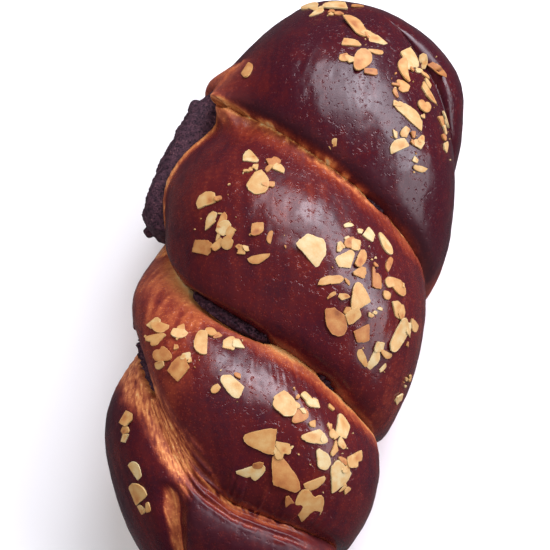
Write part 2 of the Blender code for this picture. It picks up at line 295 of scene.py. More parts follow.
def pocket_fold(y, theta):
    """1 in the fold between the loaf's tucked ends at the near end."""
    reach = ramp(-0.110, -0.115, y) * (1.0 - ramp(-0.138, -0.148, y))
    return bump(theta + 0.575 + 0.012 * noise.noise(Vector((y * 120.0, 0.0, 2.0))), 0.068) * reach


def streaks(y, theta, fine):
    """Noise drawn out along the way that the dough was stretched, across the seams."""
    across = (theta * MEAN_RADIUS + 0.35 * y) * fine
    along = (y - 0.2 * theta * MEAN_RADIUS) * fine * 0.16
    return noise.noise(Vector((across, along, 2.0))) * (1.0 - underside(theta)) * off_tip(y)


def off_tip(y):
    """0 at the loaf's two ends and 1 from a little way in."""
    return ramp(*TIP_REACH, min(FAR_END - y, y - NEAR_END))


def fine_relief(y, theta, index, below_far):
    """Creases, fibres and pits too small for the plain form, in metres."""
    spot = noise_spot(y, theta)
    height = 0.00034 * noise.noise(spot * 95.0) + 0.00018 * noise.noise(spot * 260.0)
    height += 0.00008 * streaks(y, theta, 520.0)
    if index in (2, 3):
        near_seam = 1.0 - ramp(0.004, 0.017 + 0.009 * (index - 2), below_far)
        height += (0.00062 * streaks(y, theta, 330.0) + 0.00034 * streaks(y, theta, 640.0)) * near_seam
    stretched = fan(y, theta)
    if stretched > 0.0:
        coarse, fine = wool(y, theta)
        drawn = strands(theta)
        height += (1.0 - 0.6 * drawn) * (0.00040 * coarse + 0.00030 * fine) * stretched
        height += 0.00080 * drawn * strand_wave(y, theta) * stretched
    return height


def strand_wave(y, theta):
    """-1 between two drawn-out strands and 1 on the back of a strand."""
    below = seam(4, theta) - y
    waver = noise.noise(Vector((theta * MEAN_RADIUS * 45.0, below * 60.0, 1.0)))
    return math.sin(below * 1500.0 + 2.6 * waver + 1.0)


def crust_radius(y, theta):
    """The finished crust: the plain form with its pockets, slots, lips and fine relief."""
    index, _, far, _ = lobe_place(y, theta)
    radius = surface_radius(y, theta)
    shrink = min(radius / 0.030, 1.0)
    # The third lobe runs smoothly down into the stretched dough, so the groove there is filled in.
    filled = beside_fan(theta) * bump(y - seam(4, theta) + 0.001, 0.010)
    if filled > 0.02:
        around = [surface_radius(y + step * 0.0032, theta) for step in (-3, -2, -1, 0, 1, 2, 3)]
        radius = blend(radius, max(radius, sum(around) / len(around)), min(1.15 * filled, 1.0))
    inset, from_top = flank_inset(y, theta)
    joined = web(y, theta)
    pocket = POCKET_DEPTH * ramp(0.0, 0.003, inset) * (1.0 - min(1.6 * joined, 1.0))
    lip = LIP_HEIGHT * bump(from_top + 0.0015, 0.0020) if inset > -0.008 else 0.0
    lip += 0.0115 * joined
    lip += 0.0085 * bump(theta + 1.38, 0.26) * bump(y - 0.0885, 0.0100)
    fold = 0.0022 * pocket_fold(y, theta)
    radius += (fine_relief(y, theta, index, far - y) - pocket + lip - fold) * shrink
    return slot(y, theta, radius)


def lobe_bake(index, y, theta, far, near, spot, drift, streak):
    """How brown and how glossy a lobe has baked, paler on its lips beside the seams."""
    below_far = far - y + 0.0014 * drift + 0.0013 * streak
    above_near = y - near + 0.0014 * drift + 0.0005 * streak
    brown = LOBE_BROWN[index] + 0.09 * noise.noise(spot * 24.0) + 0.07 * drift
    brown += 0.09 * streaks(y, theta, 260.0)
    gloss = 1.0
    if index == 1:
        right = sweep(8.0, 30.0, theta)
        lip = blend(0.58, 0.76, right)
        brown = min(brown, blend(lip, 1.0, ramp(0.0002, blend(0.0050, 0.0034, right), above_near)))
        gloss *= ramp(-0.002, 0.014, above_near)
    if index == 2:
        lip = blend(0.16, 0.58, ramp(0.0004, 0.0020, below_far))
        brown = min(brown, lip + 0.34 * ramp(0.0015, 0.0180, below_far))
        gloss *= 0.35 + 0.65 * ramp(0.0010, 0.0080, below_far)
        brown = min(brown, blend(0.70, 1.0, ramp(0.0002, 0.0030, above_near)))
    if index == 3:
        left = 1.0 - sweep(-46.0, -12.0, theta)
        brown -= 0.16 * left * (1.0 + 1.6 * streak) * (1.0 - ramp(0.012, 0.034, below_far))
        lip = blend(0.20, 0.52, ramp(0.0008, 0.0044, below_far))
        brown = min(brown, lip + 0.40 * ramp(0.0034, 0.0135, below_far))
        brown -= 0.16 * left * ramp(0.0, 0.012, above_near)
        gloss *= 0.40 + 0.60 * ramp(0.0020, 0.0090, below_far)
        merging = beside_fan(theta)
        reach = blend(0.0020, 0.0200, merging)
        fibres = 0.0026 * noise.noise(Vector((theta * MEAN_RADIUS * 260.0, y * 190.0, 6.0))) * merging
        brown = min(brown, blend(0.30, 1.0, ramp(-0.0010, reach, above_near + fibres) ** 0.9))
        gloss *= blend(1.0, ramp(0.002, 0.014, above_near), 0.8 * merging)
    return brown, gloss


def fan_brown(y, theta, spot, drift):
    """How brown the stretched dough is: short woolly fibres, or long strands where it is narrow."""
    below = seam(4, theta) - y
    coarse, fine = wool(y, theta)
    pores = max(noise.noise(spot * 1500.0), 0.0)
    woolly = 0.31 - 0.16 * coarse - 0.30 * fine + 0.14 * drift + 0.45 * pores
    woolly += 0.26 * (1.0 - ramp(-0.0100, 0.0010, below))
    strand = 0.80 + 0.13 * strand_wave(y, theta) - 0.10 * fine
    strand -= 0.46 * bump(below - 0.0008, 0.0011) * ramp(-0.35, 0.25, coarse + 0.2)
    strand -= 0.16 * bump(below - 0.0042, 0.0012)
    return blend(woolly, strand, strands(theta))


def near_end_bake(y, theta, far, spot, stretched, brown, gloss):
    """The near end: a strand tucked under the seam, the fold between its ends and a paler right side."""
    tucked = sweep(-26.0, -16.0, theta) * (1.0 - ramp(0.018, 0.030, far - y))
    tucked *= (1.0 - underside(theta)) * off_tip(y)
    brown -= 0.12 * tucked * (0.3 + 1.3 * noise.noise(Vector((theta * 2.5, (far - y) * 330.0, 3.0))))
    gloss *= 1.0 - 0.55 * tucked * (1.0 - 0.9 * ramp(0.2, 0.9, strands(theta) * stretched))
    fold = ramp(0.22, 0.62, pocket_fold(y, theta) + 0.14 * noise.noise(spot * 260.0))
    fibre = noise.noise(Vector((theta * MEAN_RADIUS * 700.0, y * 260.0, 5.0)))
    brown = blend(brown, 0.38 - 0.22 * fibre + 0.14 * noise.noise(spot * 800.0), 0.92 * fold)
    right_side = sweep(45.0, 95.0, theta) * (1.0 - underside(theta))
    brown -= 0.34 * right_side * off_tip(y)
    gloss *= 1.0 - 0.8 * fold
    return brown, gloss


def flank_bake(y, theta, spot, drift, streak, brown, gloss):
    """The pale rim where the crust has torn round the filling, and the dough stretched beside it."""
    inset, from_top = flank_inset(y, theta)
    if inset > -0.012:
        outside = -from_top + 0.0014 * drift + 0.0010 * streak
        rim = 0.36 - 0.24 * noise.noise(spot * 420.0)
        edge = blend(rim, 0.68, ramp(0.0036, 0.0072, outside)) + 0.34 * ramp(0.0070, 0.0150, outside)
        brown = min(brown, edge)
    corner = bump(theta + 1.12, 0.36) * bump(y - 0.084, 0.015)
    brown = blend(brown, 0.60 + 0.10 * drift, 0.75 * min(1.3 * corner, 1.0))
    gloss *= 1.0 - 0.7 * corner
    joined = web(y, theta)
    brown = blend(brown, 0.40 - 0.25 * noise.noise(spot * 330.0), ramp(0.25, 0.80, joined))
    return brown, gloss


def torn_seam_bake(y, theta, spot, drift, brown, gloss):
    """Ragged pale dough along the second seam, and the bright lip beside it towards the right."""
    waver = noise.noise(Vector((theta * MEAN_RADIUS * 90.0, 0.5, 7.0)))
    from_seam = y - seam(2, theta) + 0.0006 * drift + 0.0016 * waver
    width = 0.0017 + 0.0014 * (1.0 - sweep(-50.0, -36.0, theta))
    torn = bump(from_seam + 0.0004, width) * sweep(-66.0, -58.0, theta)
    torn *= (1.0 - sweep(24.0, 34.0, theta)) * (1.0 - ramp(0.0, 0.02, abs(from_seam)))
    torn *= ramp(-0.25, 0.15, noise.noise(Vector((theta * MEAN_RADIUS * 170.0, y * 60.0, 8.0))))
    brown = blend(brown, 0.16 + 0.36 * noise.noise(spot * 520.0), torn)
    gloss *= 1.0 - 0.8 * torn
    ridge = bump(from_seam + 0.0030, 0.0016) * sweep(-12.0, 4.0, theta)
    ridge *= 1.0 - sweep(32.0, 48.0, theta)
    brown = blend(brown, 0.34 + 0.30 * noise.noise(spot * 380.0), 0.75 * ridge)
    return brown, gloss


def bake(y, theta, height):
    """How brown the crust is, from 0 for pale torn dough to 1 for the darkest, and how glossy."""
    index, _, far, near = lobe_place(y, theta)
    spot = noise_spot(y, theta)
    drift = noise.noise(spot * 60.0)
    streak = streaks(y, theta, 330.0)
    brown, gloss = lobe_bake(index, y, theta, far, near, spot, drift, streak)
    stretched = fan(y, theta)
    if stretched > 0.0:
        brown = blend(brown, fan_brown(y, theta, spot, drift), stretched)
        gloss *= 1.0 - 0.9 * stretched * (1.0 - 0.85 * strands(theta))
    if index == 4:
        brown, gloss = near_end_bake(y, theta, far, spot, stretched, brown, gloss)
    brown, gloss = flank_bake(y, theta, spot, drift, streak, brown, gloss)
    brown, gloss = torn_seam_bake(y, theta, spot, drift, brown, gloss)
    gloss *= 1.0 - 0.20 * off_tip(y) * (1.0 - sweep(-66.0, -38.0, theta))
    # The sides near the table stay pale and dull.
    side_height = height + 0.006 * drift + 0.012 * noise.noise(spot * 22.0)
    side = 1.0 - ramp(0.008, 0.044, side_height)
    brown = blend(brown, 0.42, 0.9 * side)
    gloss *= 1.0 - 0.9 * side
    return min(max(brown, 0.0), 1.0), min(max(gloss, 0.0), 1.0)


def new_piece(name, bm, material, crease=None):
    """Links a finished mesh as a smooth piece that rides on the loaf's body; edges over crease stay sharp."""
    mesh = bpy.data.meshes.new(name)
    bm.to_mesh(mesh)
    bm.free()
    mesh.shade_smooth()
    if crease:
        mesh.set_sharp_from_angle(angle=math.radians(crease))
    mesh.materials.append(material)
    obj = bpy.data.objects.new(name, mesh)
    bpy.context.scene.collection.objects.link(obj)
    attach(obj, "root")
    return obj


def linear(red, green, blue):
    """A colour as it is seen on a screen, 0 to 255, as the linear colour that a shader takes."""
    parts = []
    for value in (red, green, blue):
        value /= 255.0
        parts.append(value / 12.92 if value < 0.04045 else ((value + 0.055) / 1.055) ** 2.4)
    return (*parts, 1.0)


def new_material(name, roughness):
    material = bpy.data.materials.new(name)
    material.use_nodes = True
    shader = material.node_tree.nodes["Principled BSDF"]
    shader.inputs["Roughness"].default_value = roughness
    return material, material.node_tree, shader


def colour_ramp(tree, stops):
    node = tree.nodes.new("ShaderNodeValToRGB")
    while len(node.color_ramp.elements) < len(stops):
        node.color_ramp.elements.new(0.5)
    for element, (position, colour) in zip(node.color_ramp.elements, stops):
        element.position = position
        element.color = linear(*colour)
    return node


def baked_grain_group():
    """Mottling, pits and specks of anything baked: masks for its colour and a height for its bump."""
    group = bpy.data.node_groups.new("baked_grain", "ShaderNodeTree")
    scales = (("Blotch Scale", 90.0), ("Pit Scale", 800.0), ("Pit Share", 0.4), ("Speck Scale", 900.0))
    for name, value in scales:
        socket = group.interface.new_socket(name, in_out="INPUT", socket_type="NodeSocketFloat")
        socket.default_value = value
    for name in ("Mask", "Height", "Specks"):
        group.interface.new_socket(name, in_out="OUTPUT", socket_type="NodeSocketFloat")
    nodes, links = group.nodes, group.links
    given = nodes.new("NodeGroupInput")
    result = nodes.new("NodeGroupOutput")
    coords = nodes.new("ShaderNodeTexCoord")
    blotch = nodes.new("ShaderNodeTexNoise")
    blotch.inputs["Detail"].default_value = 4.0
    pits = nodes.new("ShaderNodeTexNoise")
    pits.inputs["Detail"].default_value = 2.5
    pits.inputs["Roughness"].default_value = 0.6
    specks = nodes.new("ShaderNodeTexVoronoi")
    near_centre = nodes.new("ShaderNodeMapRange")
    for name, value in (("From Min", 0.42), ("From Max", 0.22), ("To Min", 0.0), ("To Max", 1.0)):
        near_centre.inputs[name].default_value = value
    chosen = nodes.new("ShaderNodeSeparateColor")
    some = nodes.new("ShaderNodeMath")
    some.operation = "GREATER_THAN"
    some.inputs[1].default_value = 0.62
    speck = nodes.new("ShaderNodeMath")
    speck.operation = "MULTIPLY"
    mix = nodes.new("ShaderNodeMix")
    mix.data_type = "FLOAT"
    floor_of_pits = nodes.new("ShaderNodeMapRange")
    for name, value in (("From Min", 0.27), ("From Max", 0.42), ("To Min", 0.0), ("To Max", 1.0)):
        floor_of_pits.inputs[name].default_value = value
    for texture in (blotch, pits, specks):
        links.new(coords.outputs["Object"], texture.inputs["Vector"])
    links.new(given.outputs["Blotch Scale"], blotch.inputs["Scale"])
    links.new(given.outputs["Pit Scale"], pits.inputs["Scale"])
    links.new(given.outputs["Speck Scale"], specks.inputs["Scale"])
    links.new(given.outputs["Pit Share"], mix.inputs["Factor"])
    links.new(blotch.outputs["Fac"], mix.inputs["A"])
    links.new(pits.outputs["Fac"], mix.inputs["B"])
    links.new(mix.outputs["Result"], result.inputs["Mask"])
    links.new(pits.outputs["Fac"], floor_of_pits.inputs["Value"])
    links.new(floor_of_pits.outputs["Result"], result.inputs["Height"])
    links.new(specks.outputs["Distance"], near_centre.inputs["Value"])
    links.new(specks.outputs["Color"], chosen.inputs["Color"])
    links.new(chosen.outputs["Red"], some.inputs[0])
    links.new(near_centre.outputs["Result"], speck.inputs[0])
    links.new(some.outputs["Value"], speck.inputs[1])
    links.new(speck.outputs["Value"], result.inputs["Specks"])
    return group


def add_grain(tree, group, blotch_scale, pit_scale, pit_share, speck_scale=900.0):
    node = tree.nodes.new("ShaderNodeGroup")
    node.node_tree = group
    node.inputs["Blotch Scale"].default_value = blotch_scale
    node.inputs["Pit Scale"].default_value = pit_scale
    node.inputs["Pit Share"].default_value = pit_share
    node.inputs["Speck Scale"].default_value = speck_scale
    return node


def add_attribute(tree, name):
    node = tree.nodes.new("ShaderNodeAttribute")
    node.attribute_name = name
    return node.outputs["Fac"]


def add_math(tree, operation, first, second):
    node = tree.nodes.new("ShaderNodeMath")
    node.operation = operation
    for socket, value in zip(node.inputs, (first, second)):
        if isinstance(value, float):
            socket.default_value = value
        else:
            tree.links.new(value, socket)
    return node.outputs["Value"]


def add_bump(tree, shader, height, distance, strength):
    node = tree.nodes.new("ShaderNodeBump")
    node.inputs["Distance"].default_value = distance
    node.inputs["Strength"].default_value = strength
    tree.links.new(height, node.inputs["Height"])
    tree.links.new(node.outputs["Normal"], shader.inputs["Normal"])
    return node


grain = baked_grain_group()
crust_material, tree, shader = new_material("egg_washed_crust", 0.35)
crust_stops = (
    (0.00, (206, 186, 140)),
    (0.12, (214, 162, 104)),
    (0.28, (202, 126, 72)),
    (0.45, (160, 82, 48)),
    (0.62, (118, 45, 31)),
    (0.80, (82, 22, 23)),
    (1.00, (55, 12, 23)),
)
grain_node = add_grain(tree, grain, 70.0, 460.0, 0.45, 1000.0)
mottled = add_math(tree, "MULTIPLY", add_math(tree, "SUBTRACT", grain_node.outputs["Mask"], 0.5), 0.66)
specks = add_math(tree, "MULTIPLY", grain_node.outputs["Specks"], -0.26)
specks = add_math(tree, "MULTIPLY", specks, grain_node.outputs["Mask"])
shade = add_math(tree, "ADD", add_attribute(tree, "brown"), mottled)
crust_ramp = colour_ramp(tree, crust_stops)
tree.links.new(add_math(tree, "ADD", shade, specks), crust_ramp.inputs["Fac"])
tree.links.new(crust_ramp.outputs["Color"], shader.inputs["Base Color"])
dullness = add_math(tree, "MULTIPLY", add_attribute(tree, "gloss"), -0.47)
rough = add_math(tree, "ADD", dullness, 0.68)
tree.links.new(add_math(tree, "ADD", rough, mottled), shader.inputs["Roughness"])
shader.inputs["Specular IOR Level"].default_value = 0.34
add_bump(tree, shader, grain_node.outputs["Height"], 0.00016, 1.0)

rows = sum(CRUST_ROWS)
bm = bmesh.new()
bmesh.ops.create_uvsphere(bm, u_segments=CRUST_COLUMNS, v_segments=rows, radius=1.0)
brown_layer = bm.verts.layers.float.new("brown")
gloss_layer = bm.verts.layers.float.new("gloss")
for vert in bm.verts:
    ring = round(math.acos(max(-1.0, min(1.0, vert.co.z))) / math.pi * rows)
    theta = math.atan2(vert.co.y, vert.co.x)
    theta -= CRUST_CROWDING * math.sin(theta)
    lobe = 0
    while lobe < 4 and ring > CRUST_ROWS[lobe]:
        ring -= CRUST_ROWS[lobe]
        lobe += 1
    t = (1.0 - math.cos(math.pi * ring / CRUST_ROWS[lobe])) / 2.0
    y = blend(seam(lobe, theta), seam(lobe + 1, theta), t)
    spot = place(y, theta, crust_radius(y, theta))
    brown, gloss = bake(y, theta, spot.z)
    vert[brown_layer] = brown
    vert[gloss_layer] = gloss
    _, t, _, _ = lobe_place(y, theta)
    rolled = bump(t - 0.10, 0.07) * (1.0 - underside(theta)) if lobe in (1, 2, 3) else 0.0
    rolled *= 1.0 - fan(seam(lobe + 1, theta), theta)
    vert.co = spot - Vector((0.0, ROLL_OVER * rolled, 0.0))
crust = new_piece("crust", bm, crust_material)
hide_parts("loaf")


# The chocolate filling: ground nuts and cocoa spread on the dough before it was rolled. It has burst
# out along the second lobe's flank and shows in the grooves. Each layer is a cube sliced finely,
# whose corners follow a seam, and its outer face is broken up into crumbs.
CORE_RADIUS = 0.010
CORE_REACH = (-0.095, 0.080)
FIN_ROOT = 0.006
FIN_COVER = 0.006
FLANK_ROOT = 0.024
FLANK_BULGE = 0.0085
CRUMB_SIZE = 0.0034
CRUMB_HEIGHT = 0.0011
FIN_CRUMB_SIZE = 0.0026
FIN_CRUMB_HEIGHT = 0.0030
FIN_CROWN = 0.0012          # how much lower a layer's outer face is at its sides than in its middle
# Lumps that have fallen out against the flank: place along the loaf, angle in degrees and radius.
KNOBS = ((0.080, -86.0, 0.0042), (0.062, -88.0, 0.0030), (0.021, -92.0, 0.0046), (0.016, -97.0, 0.0036))
# Each layer along a seam: which seam, the angles that it runs between and how many slices it has.
FINS = ((2, (-60.0, 60.0), 100), (3, (-92.0, 56.0), 240), (4, (-96.0, -30.0), 110))


def crumble(spot, size, height):
    """How far a crumbly surface stands up at a place: uneven lumps with cracks between them."""
    first = noise.noise(spot * 240.0)
    second = noise.noise(spot * 240.0 + Vector((7.0, 0.0, 0.0)))
    warp = Vector((first, second, 0.0)) * 0.35
    distances, _ = noise.voronoi(spot / size + warp)
    lump = min(distances[1] - distances[0], 0.5) / 0.5
    uneven = noise.noise(spot * 170.0)
    fine = noise.noise(spot * 800.0)
    return height * (0.35 * uneven + 0.6 * (lump - 0.6) + 0.5 * fine)


def sliced_cube(cuts, levels):
    """A cube cut into cuts[0] slices one way and cuts[1] the other, with a few levels between."""
    bm = bmesh.new()
    bmesh.ops.create_cube(bm, size=2.0)
    for axis, count in enumerate((cuts[0], levels, cuts[1])):
        normal = Vector((0.0, 0.0, 0.0))
        normal[axis] = 1.0
        for cut in range(1, count):
            geometry = bm.verts[:] + bm.edges[:] + bm.faces[:]
            centre = normal * (2.0 * cut / count - 1.0)
            bmesh.ops.bisect_plane(bm, geom=geometry, dist=1e-6, plane_co=centre, plane_no=normal)
    return bm


def add_shaped(target, bm, shape):
    """Moves every corner of a blank to its place, and adds it to the piece with its faces outwards."""
    for vert in bm.verts:
        vert.co = shape(*vert.co)
    if bm.calc_volume(signed=True) < 0.0:
        bmesh.ops.reverse_faces(bm, faces=bm.faces[:])
    blank = bpy.data.meshes.new("blank")
    bm.to_mesh(blank)
    bm.free()
    target.from_mesh(blank)
    bpy.data.meshes.remove(blank)


def flank_shape(a, b, c):
    """The mapping of the band along the flank: a along the loaf, b outwards and c up the flank."""
    y = blend(FLANK_Y[0], FLANK_Y[1], (a + 1.0) / 2.0)
    top = blend(FLANK_TOP[0], FLANK_TOP[1], (a + 1.0) / 2.0)
    narrow = FLANK_SPAN * (1.0 - 0.45 * abs(a) ** 3)
    theta = top - narrow * (1.0 - c) / 2.0
    plain = envelope_radius(y, theta)
    bulge = FLANK_BULGE * (1.0 - a ** 6) * (1.0 - 0.35 * a) * (1.0 - 0.5 * c * c)
    bulge -= 0.005 * ramp(0.80, 1.0, abs(c))
    broad = 0.0016 * noise.noise(Vector((y, theta * MEAN_RADIUS, 0.3)) * 110.0)
    outer = plain + bulge + broad
    outer = blend(outer, surface_radius(y, theta) - 0.004, min(1.5 * web(y, theta), 1.0))
    radius = blend(plain - FLANK_ROOT, outer, (b + 1.0) / 2.0)
    spot = place(y, theta, radius)
    if b > 0.5:
        spot = place(y, theta, radius + crumble(spot, CRUMB_SIZE, CRUMB_HEIGHT))
    return spot


def fin_shape(index, reach):
    """The mapping of one layer that follows a seam, and comes to the surface where it burst open."""

    def shape(a, b, c):
        theta = blend(reach[0], reach[1], (a + 1.0) / 2.0)
        y = seam(index, theta)
        valley = surface_radius(y, theta)
        opening, rise = 0.35, -FIN_COVER
        for middle, half_length, height, widest in SHOWS[index]:
            across = abs(math.degrees(theta) - middle) / half_length
            opening = max(opening, max(widest, 1.0) * (1.0 - 0.6 * across * across))
            rise = max(rise, blend(height, -FIN_COVER, ramp(0.85, 1.12, across)))
        radius = blend(FIN_ROOT, valley + rise, (b + 1.0) / 2.0)
        slope = seam_slope(index, theta)
        run = math.hypot(slope, valley)
        half = FIN_THICKNESS / 2.0 * opening * blend(1.0, 0.8, ramp(0.4, 1.0, b))
        y += c * half * valley / run
        theta -= c * half * slope / run / valley
        spot = place(y, theta, radius)
        if b > 0.5:
            lumps = crumble(spot, FIN_CRUMB_SIZE, FIN_CRUMB_HEIGHT) - FIN_CROWN * c * c
            spot = place(y, theta, radius + lumps)
        return spot

    return shape


def core_shape(x, y, z):
    """The mapping of the core, laid along the loaf's centre line."""
    middle = sum(CORE_REACH) / 2.0
    half = (CORE_REACH[1] - CORE_REACH[0]) / 2.0
    return place(middle + z * half, 0.0, 0.0) + Vector((x, 0.0, y))


def knob_shape(centre, size):
    """The mapping of a ball to an uneven lump."""

    def shape(x, y, z):
        outward = Vector((x, y, z))
        return centre + outward * (size + 0.0012 * noise.noise((centre + outward * size) * 320.0))

    return shape


chocolate_material, tree, shader = new_material("baked_chocolate_filling", 0.8)
grain_node = add_grain(tree, grain, 420.0, 1300.0, 0.5, 700.0)
chocolate_ramp = colour_ramp(tree, (
    (0.28, (24, 9, 20)),
    (0.46, (50, 27, 40)),
    (0.62, (78, 46, 58)),
    (0.85, (132, 94, 92)),
))
lighter = add_math(tree, "MULTIPLY", grain_node.outputs["Specks"], 0.12)
tree.links.new(add_math(tree, "ADD", grain_node.outputs["Mask"], lighter), chocolate_ramp.inputs["Fac"])
tree.links.new(chocolate_ramp.outputs["Color"], shader.inputs["Base Color"])
shader.inputs["Specular IOR Level"].default_value = 0.4
add_bump(tree, shader, grain_node.outputs["Height"], 0.0009, 1.0)

bm = bmesh.new()
core = bmesh.new()
bmesh.ops.create_cone(core, segments=24, cap_ends=True, radius1=CORE_RADIUS, radius2=CORE_RADIUS, depth=2.0)
add_shaped(bm, core, core_shape)
add_shaped(bm, sliced_cube((110, 48), 5), flank_shape)
for index, reach, slices in FINS:
    reach = tuple(math.radians(angle) for angle in reach)
    add_shaped(bm, sliced_cube((slices, 12), 9), fin_shape(index, reach))
for y, degrees, size in KNOBS:
    theta = math.radians(degrees)
    centre = place(y, theta, envelope_radius(y, theta) + 0.0048)
    knob = bmesh.new()
    bmesh.ops.create_icosphere(knob, subdivisions=4, radius=1.0)
    add_shaped(bm, knob, knob_shape(centre, size))
filling = new_piece("chocolate_layers", bm, chocolate_material)
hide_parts("chocolate_filling")


# The flaked almonds: thin slices of blanched almond, whole and broken, scattered on the egg wash and
# toasted with the crust. One blank is spun from a half section, and each flake is that blank pressed
# on to the crust with its own outline, curl and toasting.
FLAKE_THICKNESS = 0.0008
FLAKE_SINK = 0.0002
FLAKE_POINTS = 7
FLAKE_CLEARANCE = 0.0030
FLAKE_SEED = 21
FINISH_SEED = 5
FLAKE_STEPS = 40
FLAKE_TRIES = 60            # how often a place is drawn before a flake is left out
FLAKE_CREASE = 38.0
GROOVE_RADIUS = 0.05
# Each cluster: its place along the loaf, its angle in degrees, half its length and half its width, how
# many flakes it has and the length of its largest.
FLAKE_PATCHES = (
    (0.139, -24.0, 0.006, 0.012, 5, 0.017),
    (0.112, 8.0, 0.014, 0.008, 7, 0.016),
    (0.110, 41.0, 0.013, 0.011, 9, 0.017),
    (0.087, 37.0, 0.010, 0.009, 6, 0.021),
    (0.088, 61.0, 0.009, 0.004, 3, 0.013),
    (0.069, 38.0, 0.007, 0.007, 4, 0.013),
    (0.060, 46.0, 0.002, 0.002, 1, 0.012),
    (0.056, 9.0, 0.002, 0.002, 1, 0.010),
    (0.089, -47.0, 0.002, 0.002, 1, 0.012),
    (0.034, -22.0, 0.008, 0.008, 4, 0.016),
    (0.004, -35.0, 0.012, 0.005, 4, 0.016),
    (0.000, -17.0, 0.007, 0.014, 6, 0.011),
    (0.005, 12.0, 0.004, 0.004, 2, 0.022),
    (0.017, 33.0, 0.006, 0.013, 4, 0.012),
    (-0.004, 31.0, 0.012, 0.012, 8, 0.016),
    (0.001, 50.0, 0.010, 0.005, 4, 0.014),
    (-0.020, 33.0, 0.006, 0.010, 5, 0.018),
    (-0.015, 60.0, 0.007, 0.005, 3, 0.018),
    (-0.031, 51.0, 0.004, 0.006, 3, 0.011),
    (-0.036, 74.0, 0.006, 0.002, 2, 0.010),
    (-0.047, -21.0, 0.003, 0.010, 4, 0.013),
    (-0.049, -43.0, 0.004, 0.008, 3, 0.012),
    (-0.060, -32.0, 0.005, 0.008, 4, 0.016),
    (-0.066, -8.0, 0.006, 0.005, 3, 0.014),
    (-0.065, 20.0, 0.006, 0.006, 3, 0.020),
    (-0.068, 41.0, 0.008, 0.012, 6, 0.017),
    (-0.092, 18.0, 0.008, 0.008, 5, 0.022),
    (-0.086, 46.0, 0.009, 0.010, 6, 0.017),
    (-0.103, 40.0, 0.003, 0.009, 3, 0.020),
    (-0.092, -57.0, 0.009, 0.003, 3, 0.013),
    (-0.117, -49.0, 0.008, 0.004, 3, 0.015),
)


def surface_frame(y, theta):
    """Point on the crust, the directions along and across it, and its normal."""
    step = 0.002
    radius = max(surface_radius(y, theta), 0.01)
    point = place(y, theta, radius)
    along = place(y + step, theta, surface_radius(y + step, theta)) - point
    turn = step / radius
    across = place(y, theta + turn, surface_radius(y, theta + turn)) - point
    normal = along.cross(across).normalized() * -1.0
    along.normalize()
    return point, along, normal.cross(along).normalized(), normal


def flake_shape(draw, length):
    """A slice's length, width, where it is cut off and which way it lies."""
    width = length * draw.uniform(0.45, 0.72)
    cut = draw.choice((1.0, 1.0, draw.uniform(0.1, 0.6)))
    start = draw.uniform(0.0, math.tau)
    # The flakes of the plain form take one more number for each point of their outline. The same
    # draws here keep every later flake in the place that it has there.
    for k in range(FLAKE_POINTS):
        draw.uniform(-0.12, 0.12)
    return width, cut, start


def filling_shows_near(y, theta, margin):
    """Whether a place on the crust is too close to where the filling comes out."""
    rim = math.radians(-60.0) + margin / MEAN_RADIUS
    if FLANK_Y[0] - margin < y < FLANK_Y[1] + margin and theta < rim:
        return theta > math.radians(-125.0)
    angles = {2: ((32.0, 46.0),), 3: ((-51.0, 7.0), (33.0, 51.0)), 4: ((-92.0, -53.0),)}
    for index, ranges in angles.items():
        for low, high in ranges:
            spare = margin / GROOVE_RADIUS
            inside = math.radians(low) - spare < theta < math.radians(high) + spare
            if inside and abs(y - seam(index, theta)) < FIN_THICKNESS / 2.0 + margin:
                return True
    return False


def flake_places(draw):
    """Each flake's place, angle and length, the largest of a patch first and none overlapping."""
    placed = []
    for middle, degrees, half_length, half_width, count, largest in FLAKE_PATCHES:
        for k in range(count):
            length = largest * blend(1.0, 0.45, k / max(count - 1, 1)) * draw.uniform(0.9, 1.1)
            for attempt in range(FLAKE_TRIES):
                y = middle + half_length * draw.uniform(-1.0, 1.0)
                radius = surface_radius(y, math.radians(degrees))
                theta = math.radians(degrees) + half_width * draw.uniform(-1.0, 1.0) / radius
                if filling_shows_near(y, theta, length / 2.0 + FLAKE_CLEARANCE):
                    continue
                here = place(y, theta, surface_radius(y, theta))
                if all((here - other).length > 0.40 * (length + size) for other, size in placed):
                    placed.append((here, length))
                    yield y, theta, length
                    break


def spun_blank(steps):
    """A flat disc of radius 1 and height 1, with a crisp rim, spun from its half section."""
    bm = bmesh.new()
    top = ((0.0, 1.0), (0.4, 1.0), (0.75, 1.0), (0.93, 1.0))
    rim_and_base = ((1.0, 0.94), (1.0, 0.0), (0.5, 0.0), (0.0, 0.0))
    verts = [bm.verts.new((r, 0.0, h)) for r, h in top + rim_and_base]
    for first, second in zip(verts, verts[1:]):
        bm.edges.new((first, second))
    bmesh.ops.spin(bm, geom=bm.verts[:] + bm.edges[:], cent=(0.0, 0.0, 0.0), axis=(0.0, 0.0, 1.0),
                   angle=math.tau, steps=steps, use_merge=True, use_duplicate=False)
    bmesh.ops.remove_doubles(bm, verts=bm.verts[:], dist=1e-5)
    bmesh.ops.recalc_face_normals(bm, faces=bm.faces[:])
    return bm


def slice_reach(angle, length, width, cut, breaks, bite):
    """Distance from a flake's middle to its edge: an almond's outline, less what has broken off."""
    u, v = math.cos(angle), math.sin(angle)
    reach = 1.0 / math.hypot(u / (length / 2.0), v / (width / 2.0 * (1.0 - 0.25 * u)))
    if u > 0.0:
        reach = min(reach, cut * length / 2.0 / u)
    for facing, share in breaks:
        towards = math.cos(angle - facing)
        if towards > 0.05:
            stop = share / math.hypot(math.cos(facing) / (length / 2.0), math.sin(facing) / (width / 2.0))
            reach = min(reach, stop / towards)
    away = math.remainder(angle - bite[0], math.tau)
    return reach * (1.0 - bite[1] * bump(away, 0.30))


